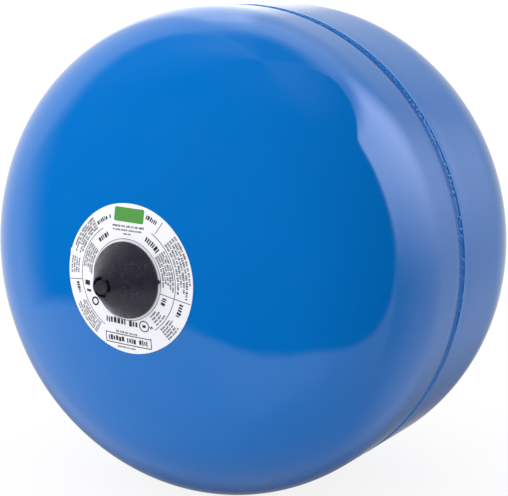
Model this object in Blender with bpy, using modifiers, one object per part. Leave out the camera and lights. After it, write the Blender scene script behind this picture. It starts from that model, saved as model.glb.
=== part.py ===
"""A 12 litre expansion vessel for drinking water, as an assembly of separate pieces.

Two deep-drawn steel shells are lap-welded round the middle: the water side's rim is necked in and slides
into the gas side's rim, and the weld lies in the groove that this leaves. A rubber bladder, held on the
barbed end of the pipe connection, keeps the water away from the steel, and nitrogen fills the room round
it. The gas valve sits in the middle of the other end, under a push-on plastic cover.

Every piece is drawn along its own Z, and the empty "vessel_axis" lays the whole vessel on its side. Along
that axis Z is 0 at the sealing face of the pipe connection and grows towards the gas valve, which ends
up at -Y, with the sealing face at the origin.
"""

import math

import bmesh
import bpy

MM = 0.001

# Driving dimensions of the vessel.
BODY_RADIUS = 140 * MM
CROWN_RADIUS = 241 * MM
KNUCKLE_RADIUS = 75 * MM
WALL = 1.2 * MM
GAS_SKIRT = 22.9 * MM
WATER_SKIRT = 49.3 * MM
CONNECTION_LENGTH = 25 * MM

# Room left between pieces that touch.
GAP = 0.2 * MM
FINE_GAP = 0.1 * MM

# Flat seats pressed into the two domes, and the holes in them.
VALVE_SEAT_RADIUS = 12 * MM
VALVE_HOLE_RADIUS = 6.2 * MM
PIPE_SEAT_RADIUS = 26 * MM
PIPE_HOLE_RADIUS = 15 * MM

# The lap joint. Distances are from the seam's middle, towards the side that each belongs to.
GAS_RIM = 2.7 * MM
RIM_CHAMFER = 0.3 * MM
NECKING_START = 5.4 * MM
NECKING_END = 1.6 * MM
NECKING_DEPTH = WALL + GAP
LAP = 5 * MM
BEAD_DEPTHS = (0.95 * MM, 0.9 * MM, 0.8 * MM, 0.7 * MM)
BEAD_HEIGHTS = (2.5 * MM, 0.5 * MM, -1.5 * MM, -2.9 * MM)

# The round label, and the valve cover that stands on it.
LABEL_INNER_RADIUS = 14 * MM
LABEL_RADIUS = 40.1 * MM
LABEL_THICKNESS = 0.2 * MM
COVER_RADIUS = 20.4 * MM
COVER_RIM_HEIGHT = 1.2 * MM
COVER_HEIGHT = 20.6 * MM
COVER_TIP_RADIUS = 5.9 * MM
COVER_WALL = 1.5 * MM
BUTTON_RADIUS = 3.7 * MM
BUTTON_HEIGHT = 1.3 * MM
FINGER_INNER_RADIUS = 4.15 * MM
FINGER_OUTER_RADIUS = 5.35 * MM
FINGER_LENGTH = 11 * MM
SEAL_RADIUS = 3.4 * MM
SEAL_THICKNESS = 1.2 * MM
SLOT_COUNT = 3
SLOT_ARC = math.radians(82)
FIRST_SLOT = math.radians(14)
NIB_SIZE = (3 * MM, 2 * MM, 1.2 * MM)
NIB_HEIGHT = 0.8 * MM
NIB_ANGLE = math.radians(4)

# Threads: the charging valve's 8V1, its M12 shank and the G 3/4 pipe thread.
VALVE_THREAD_RADIUS = 3.85 * MM
VALVE_THREAD_PITCH = 0.794 * MM
VALVE_THREAD_DEPTH = 0.45 * MM
SHANK_RADIUS = 5.85 * MM
SHANK_PITCH = 1 * MM
SHANK_THREAD_DEPTH = 0.5 * MM
PIPE_THREAD_RADIUS = 13.22 * MM
PIPE_THREAD_PITCH = 1.814 * MM
PIPE_THREAD_DEPTH = 1.16 * MM

# The gas valve, as heights above the outside of the shell. Those under 0 are inside it.
STEM_TOP = 17.4 * MM
STEM_NECK = 8 * MM
STEM_BORE_RADIUS = 1.6 * MM
STEM_HEAD_RADIUS = 9 * MM
STEM_HEAD_TOP = -WALL - 1.7 * MM
STEM_FOOT = STEM_HEAD_TOP - 2.2 * MM
WASHER_RADIUS = 10.5 * MM
WASHER_THICKNESS = 1.2 * MM
NUT_HEIGHT = 4 * MM
NUT_ACROSS_FLATS = 17 * MM
NUT_CHAMFER = 0.6 * MM

# The valve's core, inside the stem. Its pin is what a gauge or a pump presses.
CORE_BORE_RADIUS = 2.65 * MM
CORE_SEAT_RADIUS = 2.15 * MM
PLUG_TOP = 16.6 * MM
PLUG_RADIUS = 2.5 * MM
PLUG_BORE_RADIUS = 0.95 * MM
BARREL_TOP = 13 * MM
BARREL_SHOULDER = 11.5 * MM
BARREL_FLOOR = 8.2 * MM
BARREL_FOOT = 6.6 * MM
BARREL_RADIUS = 1.95 * MM
BARREL_BORE_RADIUS = 1.45 * MM
PIN_TOP = 17.3 * MM
PIN_FOOT = 2.5 * MM
PIN_RADIUS = 0.5 * MM
PIN_COLLAR = 12.1 * MM
PIN_COLLAR_RADIUS = 1.25 * MM
PLUNGER_SEAL_TOP = 6.4 * MM
PLUNGER_SEAL_FOOT = 5.1 * MM
PLUNGER_CUP_FOOT = 3.2 * MM
SPRING_RADIUS = 1.1 * MM
SPRING_WIRE = 0.16 * MM
SPRING_TURNS = 5
SPRING_POINTS_PER_TURN = 8

# The pipe connection, as heights from its sealing face inwards.
LINER_FLANGE = 1.2 * MM
LINER_BORE = 8.4 * MM
LINER_RADIUS = 9.7 * MM
LINER_FLANGE_RADIUS = 12.2 * MM
THREAD_END = 17 * MM
COLLAR_RADIUS = 21 * MM
COLLAR_FACE = 19 * MM
COLLAR_CHAMFER = 0.6 * MM
COLLAR_RELIEF_RADIUS = 14 * MM
COLLAR_RELIEF_DEPTH = 0.5 * MM
SPIGOT_START = 29 * MM
SPIGOT_END = 47 * MM
SPIGOT_RADIUS = 12.4 * MM
BARB_HEIGHTS = (44 * MM, 38 * MM)
BARB_DEPTH = 0.8 * MM
FILLET_WIDTH = 3.2 * MM
FILLET_HEIGHT = 3 * MM

# The relaxed bladder: an egg-shaped bag, whose neck is crimped on the connection's spigot.
BLADDER_MIDDLE = 127 * MM
BLADDER_HALF_LENGTH = 83 * MM
BLADDER_RADIUS = 108 * MM
BLADDER_THICKNESS = 1.8 * MM
BLADDER_ROUNDNESS = 2.2
NECK_START = 30 * MM
NECK_RADIUS = 15.3 * MM
NECK_BORE_RADIUS = 12.8 * MM
CRIMP_START = 32.5 * MM
CRIMP_END = 40.5 * MM
CRIMP_THICKNESS = 0.9 * MM

# Faces round each kind of turned piece.
SHELL_STEPS = 48
FITTING_STEPS = 32
VALVE_STEPS = 18
CORE_STEPS = 12

# Positions along the axis, worked out from the sizes above.
CROWN_DROP = math.sqrt((CROWN_RADIUS - KNUCKLE_RADIUS) ** 2 - (BODY_RADIUS - KNUCKLE_RADIUS) ** 2)
HEAD_DEPTH = CROWN_RADIUS - CROWN_DROP


def crown_fall(radius):
    """How far the crown has fallen away from its top at this radius."""
    return CROWN_RADIUS - math.sqrt(CROWN_RADIUS**2 - radius**2)


WATER_END = CONNECTION_LENGTH - crown_fall(PIPE_SEAT_RADIUS)
SEAM = WATER_END + HEAD_DEPTH + WATER_SKIRT
GAS_END = SEAM + GAS_SKIRT + HEAD_DEPTH
VALVE_SEAT = GAS_END - crown_fall(VALVE_SEAT_RADIUS)
COVER_INNER_RADIUS = COVER_RADIUS - COVER_WALL
COVER_BASE = GAS_END - crown_fall(COVER_INNER_RADIUS) + FINE_GAP + LABEL_THICKNESS + GAP
COVER_ROOF = COVER_HEIGHT - COVER_WALL
NIPPLE_BORE = LINER_RADIUS + GAP


def clear_scene():
    for obj in list(bpy.data.objects):
        bpy.data.objects.remove(obj, do_unlink=True)


def make_material(name, colour, roughness, metallic=0.0):
    material = bpy.data.materials.new(name)
    material.use_nodes = True
    shader = material.node_tree.nodes["Principled BSDF"]
    shader.inputs["Base Color"].default_value = (*colour, 1.0)
    shader.inputs["Roughness"].default_value = roughness
    shader.inputs["Metallic"].default_value = metallic
    return material


def make_collection(name):
    collection = bpy.data.collections.new(name)
    bpy.context.scene.collection.children.link(collection)
    return collection


def add_object(name, data, material, z=0.0, collection=None):
    """Puts a mesh or curve on the vessel's axis, z from the connection's sealing face."""
    obj = bpy.data.objects.new(name, data)
    (collection or VESSEL).objects.link(obj)
    obj.parent = AXIS
    obj.location.z = z
    if material:
        data.materials.append(material)
    return obj


def turned(name, profile, material, z=0.0, steps=FITTING_STEPS, closed=True, collection=None):
    """A piece turned round Z. The profile runs down its outer side and back up its bore.

    A closed profile makes a ring. An open one starts and ends on the axis.
    """
    edges = [(i, i + 1) for i in range(len(profile) - 1)]
    if closed:
        edges.append((len(profile) - 1, 0))
    mesh = bpy.data.meshes.new(name)
    mesh.from_pydata([(r, 0.0, h) for r, h in profile], edges, [])
    obj = add_object(name, mesh, material, z, collection)
    screw = obj.modifiers.new("Screw", "SCREW")
    screw.axis = "Z"
    screw.steps = steps
    screw.render_steps = steps
    screw.use_smooth_shade = True
    screw.use_merge_vertices = True
    screw.merge_threshold = 0.00001
    return obj


def arc(centre, radius, start, end, count):
    """Points round an arc in the profile plane, angles in radians from the +X (radial) direction."""
    angles = [start + (end - start) * i / count for i in range(count + 1)]
    return [
        (centre[0] + radius * math.cos(a), centre[1] + radius * math.sin(a)) for a in angles
    ]


def grooves(top, bottom, radius, depth, pitch):
    """The outline of a thread's ridges from top to bottom, as rings of the real pitch."""
    count = round((top - bottom) / pitch)
    step = (top - bottom) / count
    points = []
    for i in range(count):
        crest = top - i * step
        points += [(radius, crest - 0.25 * step), (radius - depth, crest - 0.75 * step)]
    return points


def cut(obj, cutters, operation="DIFFERENCE"):
    for cutter in cutters:
        boolean = obj.modifiers.new(f"{operation} {cutter.name}", "BOOLEAN")
        boolean.operation = operation
        boolean.object = cutter


def as_helper(obj):
    obj.hide_render = True
    obj.display_type = "WIRE"
    return obj


def cylinder(name, radius, height, sides, material=None, z=0.0, collection=None):
    """A straight cylinder or prism on the axis, from z up to z + height."""
    shape = bmesh.new()
    bmesh.ops.create_cone(
        shape, cap_ends=True, segments=sides, radius1=radius, radius2=radius, depth=height
    )
    bmesh.ops.translate(shape, vec=(0, 0, height / 2), verts=shape.verts)
    mesh = bpy.data.meshes.new(name)
    shape.to_mesh(mesh)
    shape.free()
    return add_object(name, mesh, material, z, collection)


def block(name, size, centre, z, collection):
    """A box of this size, centred on this point above z."""
    shape = bmesh.new()
    bmesh.ops.create_cube(shape, size=1.0)
    bmesh.ops.scale(shape, vec=size, verts=shape.verts)
    bmesh.ops.translate(shape, vec=centre, verts=shape.verts)
    mesh = bpy.data.meshes.new(name)
    shape.to_mesh(mesh)
    shape.free()
    return add_object(name, mesh, None, z, collection)


def ring_segment(name, inner, outer, arc_angle, height, middle, z, collection):
    """A solid piece of a ring, from z up, as a mesh that a Boolean can use."""
    half = arc_angle / 2
    rim = arc((0, 0), outer, middle - half, middle + half, 8)
    rim += arc((0, 0), inner, middle + half, middle - half, 8)
    curve = bpy.data.curves.new(name, "CURVE")
    curve.dimensions = "2D"
    curve.fill_mode = "BOTH"
    curve.extrude = height / 2
    spline = curve.splines.new("POLY")
    spline.points.add(len(rim) - 1)
    for point, (x, y) in zip(spline.points, rim):
        point.co = (x, y, 0, 1)
    spline.use_cyclic_u = True
    drawn = bpy.data.objects.new(name + "_curve", curve)
    collection.objects.link(drawn)
    graph = bpy.context.evaluated_depsgraph_get()
    mesh = bpy.data.meshes.new_from_object(drawn.evaluated_get(graph))
    bpy.data.objects.remove(drawn, do_unlink=True)
    shape = bmesh.new()
    shape.from_mesh(mesh)
    bmesh.ops.remove_doubles(shape, verts=shape.verts, dist=0.00001)
    bmesh.ops.recalc_face_normals(shape, faces=shape.faces)
    shape.to_mesh(mesh)
    shape.free()
    return add_object(name, mesh, None, z + height / 2, collection)


def shell(name, skirt, seat_radius, hole_radius, rim, rim_lining, material, z, upwards):
    """One drawn half: its rim, a straight skirt, a knuckle and a crown, with a flat seat round its hole."""
    knuckle_arc = math.atan2(CROWN_DROP, BODY_RADIUS - KNUCKLE_RADIUS)
    crown_centre = skirt - CROWN_DROP

    def skin(inset):
        """The surface this far in from the outside, from the skirt's end to the hole's edge."""
        knuckle = arc(
            (BODY_RADIUS - KNUCKLE_RADIUS, skirt), KNUCKLE_RADIUS - inset, 0, knuckle_arc, 6
        )
        seat_angle = math.acos(seat_radius / CROWN_RADIUS)
        crown = arc((0, crown_centre), CROWN_RADIUS - inset, knuckle_arc, seat_angle, 4)
        return knuckle + crown[1:] + [(hole_radius, crown[-1][1])]

    outside = rim + skin(0)
    inside = rim_lining + skin(WALL)
    obj = turned(name, outside[::-1] + inside, material, z, SHELL_STEPS)
    if not upwards:
        obj.rotation_euler.x = math.pi


def shells(material):
    """The gas side, whose rim ends square, and the water side, whose rim is necked in to fit inside it."""
    gas_rim = [(BODY_RADIUS - RIM_CHAMFER, GAS_RIM), (BODY_RADIUS, GAS_RIM + RIM_CHAMFER)]
    gas_lining = [(BODY_RADIUS - WALL, GAS_RIM)]
    shell(
        "gas_side_shell",
        GAS_SKIRT,
        VALVE_SEAT_RADIUS,
        VALVE_HOLE_RADIUS,
        gas_rim,
        gas_lining,
        material,
        SEAM,
        upwards=True,
    )
    neck = BODY_RADIUS - NECKING_DEPTH
    water_rim = [(neck, -GAS_RIM - LAP), (neck, NECKING_END), (BODY_RADIUS, NECKING_START)]
    shell(
        "water_side_shell",
        WATER_SKIRT,
        PIPE_SEAT_RADIUS,
        PIPE_HOLE_RADIUS,
        water_rim,
        [(r - WALL, h) for r, h in water_rim],
        material,
        SEAM,
        upwards=False,
    )


def seam_weld(material):
    """The weld in the groove: it lies on the necked rim, against the gas side's edge."""
    foot = BODY_RADIUS - NECKING_DEPTH + GAP
    surface = [(BODY_RADIUS - depth, h) for depth, h in zip(BEAD_DEPTHS, BEAD_HEIGHTS)]
    underside = [(foot, -NECKING_END + FINE_GAP), (foot, GAS_RIM - GAP)]
    turned("seam_weld", surface + underside, material, SEAM, SHELL_STEPS)


def crown_skin(lift, inner, outer, count):
    """Points on the gas side's crown, this far above the paint, from the inner to the outer radius."""
    radii = [inner + (outer - inner) * i / count for i in range(count + 1)]
    return [(r, GAS_END - crown_fall(r) + lift) for r in radii]


def rating_label(material):
    top = crown_skin(FINE_GAP + LABEL_THICKNESS, LABEL_INNER_RADIUS, LABEL_RADIUS, 3)
    under = crown_skin(FINE_GAP, LABEL_INNER_RADIUS, LABEL_RADIUS, 3)
    turned("rating_label", top + under[::-1], material, 0, SHELL_STEPS)


def valve_cover(material):
    """A cone with a button at its tip. Three slots round the button free the fingers inside it."""
    slope = math.atan2(COVER_RADIUS - COVER_TIP_RADIUS, COVER_HEIGHT - COVER_RIM_HEIGHT)
    lining = COVER_WALL / math.cos(slope)
    roof_edge = COVER_TIP_RADIUS + COVER_WALL * math.tan(slope) - lining
    top = COVER_HEIGHT + BUTTON_HEIGHT
    outline = [
        (0, top),
        (BUTTON_RADIUS - 0.4 * MM, top),
        (BUTTON_RADIUS, top - 0.4 * MM),
        (BUTTON_RADIUS, COVER_HEIGHT),
        (COVER_TIP_RADIUS - 0.4 * MM, COVER_HEIGHT),
        (COVER_TIP_RADIUS, COVER_HEIGHT - 0.3 * MM),
        (COVER_RADIUS, COVER_RIM_HEIGHT),
        (COVER_RADIUS, 0),
        (COVER_INNER_RADIUS, 0),
        (COVER_INNER_RADIUS, COVER_RIM_HEIGHT * 0.6),
        (max(roof_edge, FINGER_OUTER_RADIUS + FINE_GAP), COVER_ROOF - 0.6 * MM),
        (FINGER_OUTER_RADIUS, COVER_ROOF - 0.6 * MM),
        (FINGER_OUTER_RADIUS, COVER_ROOF - FINGER_LENGTH),
        (FINGER_INNER_RADIUS, COVER_ROOF - FINGER_LENGTH),
        (FINGER_INNER_RADIUS, COVER_ROOF),
        (0, COVER_ROOF),
    ]
    cover = turned("valve_cover", outline, material, COVER_BASE, FITTING_STEPS, closed=False)
    nib = block("nib", NIB_SIZE, (COVER_RADIUS, 0, NIB_HEIGHT), COVER_BASE, HELPERS)
    nib.rotation_euler.z = NIB_ANGLE
    cut(cover, [as_helper(nib)], "UNION")
    for i in range(SLOT_COUNT):
        slot = ring_segment(
            f"cover_slot_{i + 1}",
            BUTTON_RADIUS + 0.02 * MM,
            FINGER_OUTER_RADIUS + 0.04 * MM,
            SLOT_ARC,
            FINGER_LENGTH + COVER_WALL + 2 * MM,
            FIRST_SLOT + i * math.tau / SLOT_COUNT,
            COVER_BASE + COVER_ROOF - FINGER_LENGTH - 1 * MM,
            HELPERS,
        )
        cut(cover, [as_helper(slot)])


def valve_cover_seal(material):
    foot = COVER_BASE + COVER_ROOF - GAP - SEAL_THICKNESS
    cylinder("valve_cover_seal", SEAL_RADIUS, SEAL_THICKNESS, VALVE_STEPS, material, foot)


def valve_stem(material):
    """The brass stem: a head inside the shell, a threaded shank through it, and the charging thread."""
    shank_top = STEM_NECK - 1 * MM
    outline = [(3.3 * MM, STEM_TOP)]
    outline += grooves(
        STEM_TOP, STEM_NECK + 0.5 * MM, VALVE_THREAD_RADIUS, VALVE_THREAD_DEPTH, VALVE_THREAD_PITCH
    )
    outline += [(3.7 * MM, STEM_NECK), (5.3 * MM, shank_top)]
    outline += grooves(shank_top, 1 * MM, SHANK_RADIUS, SHANK_THREAD_DEPTH, SHANK_PITCH)
    outline += [
        (SHANK_RADIUS, 0.6 * MM),
        (SHANK_RADIUS, STEM_HEAD_TOP),
        (STEM_HEAD_RADIUS, STEM_HEAD_TOP),
        (STEM_HEAD_RADIUS, STEM_FOOT + 0.4 * MM),
        (STEM_HEAD_RADIUS - 0.4 * MM, STEM_FOOT),
        (STEM_BORE_RADIUS, STEM_FOOT),
        (STEM_BORE_RADIUS, 0.6 * MM),
        (CORE_SEAT_RADIUS, 1 * MM),
        (CORE_SEAT_RADIUS, shank_top),
        (CORE_BORE_RADIUS, STEM_NECK),
        (CORE_BORE_RADIUS, STEM_TOP - 0.3 * MM),
        (2.9 * MM, STEM_TOP),
    ]
    turned("valve_stem", outline, material, VALVE_SEAT, VALVE_STEPS)


def ring(name, inner, outer, bottom, top, material, z, steps):
    """A plain ring with square edges."""
    outline = [(inner, top), (outer, top), (outer, bottom), (inner, bottom)]
    return turned(name, outline, material, z, steps)


def valve_fixings(rubber, steel):
    """The gasket inside the shell, and the washer and nut outside it."""
    ring(
        "valve_stem_gasket",
        SHANK_RADIUS + FINE_GAP,
        STEM_HEAD_RADIUS,
        STEM_HEAD_TOP + FINE_GAP,
        -WALL - FINE_GAP,
        rubber,
        VALVE_SEAT,
        VALVE_STEPS,
    )
    washer_top = FINE_GAP + WASHER_THICKNESS
    washer_hole = SHANK_RADIUS + 0.3 * MM
    ring(
        "valve_washer",
        washer_hole,
        WASHER_RADIUS,
        FINE_GAP,
        washer_top,
        steel,
        VALVE_SEAT,
        VALVE_STEPS,
    )
    corner = NUT_ACROSS_FLATS / 2 / math.cos(math.pi / 6)
    foot = washer_top + FINE_GAP
    nut = cylinder("valve_nut", corner, NUT_HEIGHT, 6, steel, VALVE_SEAT + foot)
    blank = turned(
        "nut_blank",
        [
            (0, NUT_HEIGHT + 1 * MM),
            (corner - 2 * NUT_CHAMFER - 1 * MM, NUT_HEIGHT + 1 * MM),
            (corner + 1 * MM, NUT_HEIGHT - NUT_CHAMFER),
            (corner + 1 * MM, -1 * MM),
            (0, -1 * MM),
        ],
        None,
        VALVE_SEAT + foot,
        VALVE_STEPS,
        closed=False,
        collection=HELPERS,
    )
    hole = cylinder(
        "nut_hole",
        SHANK_RADIUS + FINE_GAP,
        NUT_HEIGHT + 4 * MM,
        VALVE_STEPS,
        z=VALVE_SEAT + foot - 2 * MM,
        collection=HELPERS,
    )
    cut(nut, [as_helper(blank)], "INTERSECT")
    cut(nut, [as_helper(hole)])


def valve_core(brass, plastic, rubber, steel):
    """The charging valve's core: a fixed plug and barrel, and a sprung pin that carries the seal."""
    plug = turned(
        "core_plug",
        [
            (PLUG_BORE_RADIUS, PLUG_TOP),
            (PLUG_RADIUS - 0.4 * MM, PLUG_TOP),
            (PLUG_RADIUS - 0.4 * MM, PLUG_TOP - 1 * MM),
            (PLUG_RADIUS, PLUG_TOP - 1.2 * MM),
            (PLUG_RADIUS, BARREL_TOP + GAP),
            (PLUG_BORE_RADIUS, BARREL_TOP + GAP),
        ],
        brass,
        VALVE_SEAT,
        CORE_STEPS,
    )
    for side in (-1, 1):
        flat = block(
            f"plug_flat_{'right' if side > 0 else 'left'}",
            (2 * MM, 6 * MM, 2 * MM),
            (side * 2.4 * MM, 0, PLUG_TOP + 0.1 * MM),
            VALVE_SEAT,
            HELPERS,
        )
        cut(plug, [as_helper(flat)])
    turned(
        "core_barrel",
        [
            (BARREL_BORE_RADIUS, BARREL_TOP),
            (PLUG_RADIUS - FINE_GAP, BARREL_TOP),
            (PLUG_RADIUS - FINE_GAP, BARREL_SHOULDER),
            (BARREL_RADIUS, BARREL_SHOULDER - 0.1 * MM),
            (BARREL_RADIUS, BARREL_FOOT),
            (PIN_RADIUS + 0.25 * MM, BARREL_FOOT),
            (PIN_RADIUS + 0.25 * MM, BARREL_FLOOR),
            (BARREL_BORE_RADIUS, BARREL_FLOOR),
        ],
        brass,
        VALVE_SEAT,
        CORE_STEPS,
    )
    turned(
        "core_packing",
        [
            (BARREL_RADIUS + FINE_GAP, BARREL_SHOULDER - 0.3 * MM),
            (CORE_BORE_RADIUS - FINE_GAP, BARREL_SHOULDER - 0.3 * MM),
            (CORE_BORE_RADIUS - FINE_GAP, BARREL_FLOOR + 0.7 * MM),
            (BARREL_RADIUS + 0.25 * MM, BARREL_FLOOR),
            (BARREL_RADIUS + FINE_GAP, BARREL_FLOOR),
        ],
        plastic,
        VALVE_SEAT,
        CORE_STEPS,
    )
    turned(
        "core_pin",
        [
            (0, PIN_TOP),
            (PIN_RADIUS + 0.05 * MM, PIN_TOP),
            (PIN_RADIUS + 0.25 * MM, PIN_TOP - 0.2 * MM),
            (PIN_RADIUS + 0.25 * MM, PIN_TOP - 0.5 * MM),
            (PIN_RADIUS, PIN_TOP - 0.7 * MM),
            (PIN_RADIUS, PIN_COLLAR + 0.7 * MM),
            (PIN_COLLAR_RADIUS, PIN_COLLAR + 0.5 * MM),
            (PIN_COLLAR_RADIUS, PIN_COLLAR),
            (PIN_RADIUS, PIN_COLLAR),
            (PIN_RADIUS, PIN_FOOT + 0.6 * MM),
            (2 * PIN_RADIUS, PIN_FOOT + 0.5 * MM),
            (2 * PIN_RADIUS, PIN_FOOT),
            (0, PIN_FOOT),
        ],
        brass,
        VALVE_SEAT,
        CORE_STEPS,
        closed=False,
    )
    ring(
        "core_plunger_seal",
        PIN_RADIUS + FINE_GAP,
        1.6 * MM,
        PLUNGER_SEAL_FOOT,
        PLUNGER_SEAL_TOP,
        rubber,
        VALVE_SEAT,
        CORE_STEPS,
    )
    ring(
        "core_plunger_cup",
        PIN_RADIUS + FINE_GAP,
        1.7 * MM,
        PLUNGER_CUP_FOOT,
        PLUNGER_SEAL_FOOT - FINE_GAP,
        brass,
        VALVE_SEAT,
        CORE_STEPS,
    )
    core_spring(steel)


def core_spring(material):
    """A small compression spring between the barrel's floor and the pin's collar."""
    foot = BARREL_FLOOR + SPRING_WIRE + 0.05 * MM
    head = PIN_COLLAR - SPRING_WIRE - 0.05 * MM
    curve = bpy.data.curves.new("core_spring", "CURVE")
    curve.dimensions = "3D"
    curve.bevel_depth = SPRING_WIRE
    curve.bevel_resolution = 1
    curve.use_fill_caps = True
    spline = curve.splines.new("POLY")
    count = SPRING_TURNS * SPRING_POINTS_PER_TURN
    spline.points.add(count)
    for i in range(count + 1):
        angle = math.tau * i / SPRING_POINTS_PER_TURN
        height = foot + (head - foot) * i / count
        across = (SPRING_RADIUS * math.cos(angle), SPRING_RADIUS * math.sin(angle))
        spline.points[i].co = (*across, height, 1)
    add_object("core_spring", curve, material, VALVE_SEAT)


def connection_nipple(material):
    """The steel stub: a G 3/4 thread, a collar on the shell, and a barbed spigot inside it."""
    seat = CONNECTION_LENGTH - GAP
    shank = PIPE_HOLE_RADIUS - 0.4 * MM
    root = PIPE_THREAD_RADIUS - PIPE_THREAD_DEPTH
    ledge = SPIGOT_RADIUS - BARB_DEPTH
    relief = COLLAR_FACE + COLLAR_RELIEF_DEPTH
    outline = [(NIPPLE_BORE, SPIGOT_END), (ledge, SPIGOT_END)]
    for barb in BARB_HEIGHTS:
        outline += [(SPIGOT_RADIUS, barb), (ledge, barb - 0.3 * MM)]
    outline += [(ledge, SPIGOT_START), (shank, SPIGOT_START - 0.5 * MM)]
    outline += [(shank, seat), (COLLAR_RADIUS, seat), (COLLAR_RADIUS, COLLAR_FACE + COLLAR_CHAMFER)]
    outline += [(COLLAR_RADIUS - COLLAR_CHAMFER, COLLAR_FACE), (COLLAR_RELIEF_RADIUS, COLLAR_FACE)]
    outline += [(COLLAR_RELIEF_RADIUS, relief), (root, relief), (root, THREAD_END + 0.2 * MM)]
    outline += grooves(
        THREAD_END,
        LINER_FLANGE + 1 * MM,
        PIPE_THREAD_RADIUS,
        PIPE_THREAD_DEPTH,
        PIPE_THREAD_PITCH,
    )
    outline += [(root, LINER_FLANGE + GAP), (NIPPLE_BORE, LINER_FLANGE + GAP)]
    turned("connection_nipple", outline, material)


def nipple_liner(material):
    outline = [
        (LINER_BORE, SPIGOT_END + 1 * MM),
        (LINER_RADIUS - 0.4 * MM, SPIGOT_END + 1 * MM),
        (LINER_RADIUS, SPIGOT_END),
        (LINER_RADIUS, LINER_FLANGE),
        (LINER_FLANGE_RADIUS, LINER_FLANGE),
        (LINER_FLANGE_RADIUS, 0),
        (LINER_BORE, 0),
    ]
    turned("nipple_liner", outline, material)


def nipple_weld(material):
    """The fillet between the collar and the flat seat on the shell."""
    foot = CONNECTION_LENGTH - GAP
    inner, outer = COLLAR_RADIUS + GAP, COLLAR_RADIUS + GAP + FILLET_WIDTH
    outline = [
        (inner, foot),
        (outer, foot),
        (outer - 0.37 * FILLET_WIDTH, foot - 0.63 * FILLET_HEIGHT),
        (outer - 0.75 * FILLET_WIDTH, foot - 0.93 * FILLET_HEIGHT),
        (inner, foot - FILLET_HEIGHT),
    ]
    turned("nipple_weld", outline, material)


def bladder(material):
    """The rubber bag, relaxed: a neck over the spigot and an egg-shaped body."""

    def body(inset, neck):
        """The bag's skin this far in, from its far end down to where it meets the neck."""
        length, width = BLADDER_HALF_LENGTH - inset, BLADDER_RADIUS - inset
        power = 2 / BLADDER_ROUNDNESS
        height = math.asin((neck / width) ** (1 / power))
        points = []
        for i in range(12):
            angle = (math.pi - height) * i / 11
            wide = width * math.sin(angle) ** power
            along = math.copysign(length * abs(math.cos(angle)) ** power, math.cos(angle))
            points.append((wide, BLADDER_MIDDLE + along))
        return points

    outside = body(0, NECK_RADIUS)
    inside = body(BLADDER_THICKNESS, NECK_BORE_RADIUS)
    outline = outside + [(NECK_RADIUS, NECK_START), (NECK_BORE_RADIUS, NECK_START)] + inside[::-1]
    turned("bladder", outline, material, closed=False)


def neck_crimp_ring(material):
    inner = NECK_RADIUS + GAP
    outer = inner + CRIMP_THICKNESS
    ring("neck_crimp_ring", inner, outer, CRIMP_START, CRIMP_END, material, 0, FITTING_STEPS)


clear_scene()
VESSEL = make_collection("expansion_vessel")
HELPERS = make_collection("helpers")
AXIS = bpy.data.objects.new("vessel_axis", None)
VESSEL.objects.link(AXIS)
AXIS.rotation_euler.x = math.pi / 2

blue_paint = make_material("blue_paint", (0.012, 0.17, 0.57), 0.28)
black_plastic = make_material("black_plastic", (0.02, 0.02, 0.024), 0.5)
label_film = make_material("label_film", (0.86, 0.86, 0.88), 0.4)
zinc_steel = make_material("zinc_steel", (0.62, 0.63, 0.64), 0.35, 1.0)
stainless = make_material("stainless", (0.68, 0.68, 0.68), 0.25, 1.0)
brass = make_material("brass", (0.78, 0.57, 0.25), 0.3, 1.0)
black_rubber = make_material("black_rubber", (0.025, 0.025, 0.025), 0.7)
butyl_rubber = make_material("butyl_rubber", (0.04, 0.04, 0.042), 0.65)
white_plastic = make_material("white_plastic", (0.85, 0.85, 0.83), 0.45)

shells(blue_paint)
seam_weld(blue_paint)
rating_label(label_film)
valve_cover(black_plastic)
valve_cover_seal(black_rubber)
valve_stem(brass)
valve_fixings(black_rubber, zinc_steel)
valve_core(brass, white_plastic, black_rubber, stainless)
connection_nipple(zinc_steel)
nipple_liner(white_plastic)
nipple_weld(blue_paint)
bladder(butyl_rubber)
neck_crimp_ring(stainless)
bpy.context.view_layer.update()
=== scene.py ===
"""The finished look of a 12 litre expansion vessel that lies on its side.

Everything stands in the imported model's own frame, in metres: the vessel's axis is Y, the pipe connection's
sealing face is at the origin, and the gas valve is at the -Y end. "Height" below is the distance along the
axis from that sealing face towards the gas valve, so a point at radius r and height h is at y = -h. Angles
round the axis start at +X and turn towards +Z.
"""

import functools
import math
import random

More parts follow.
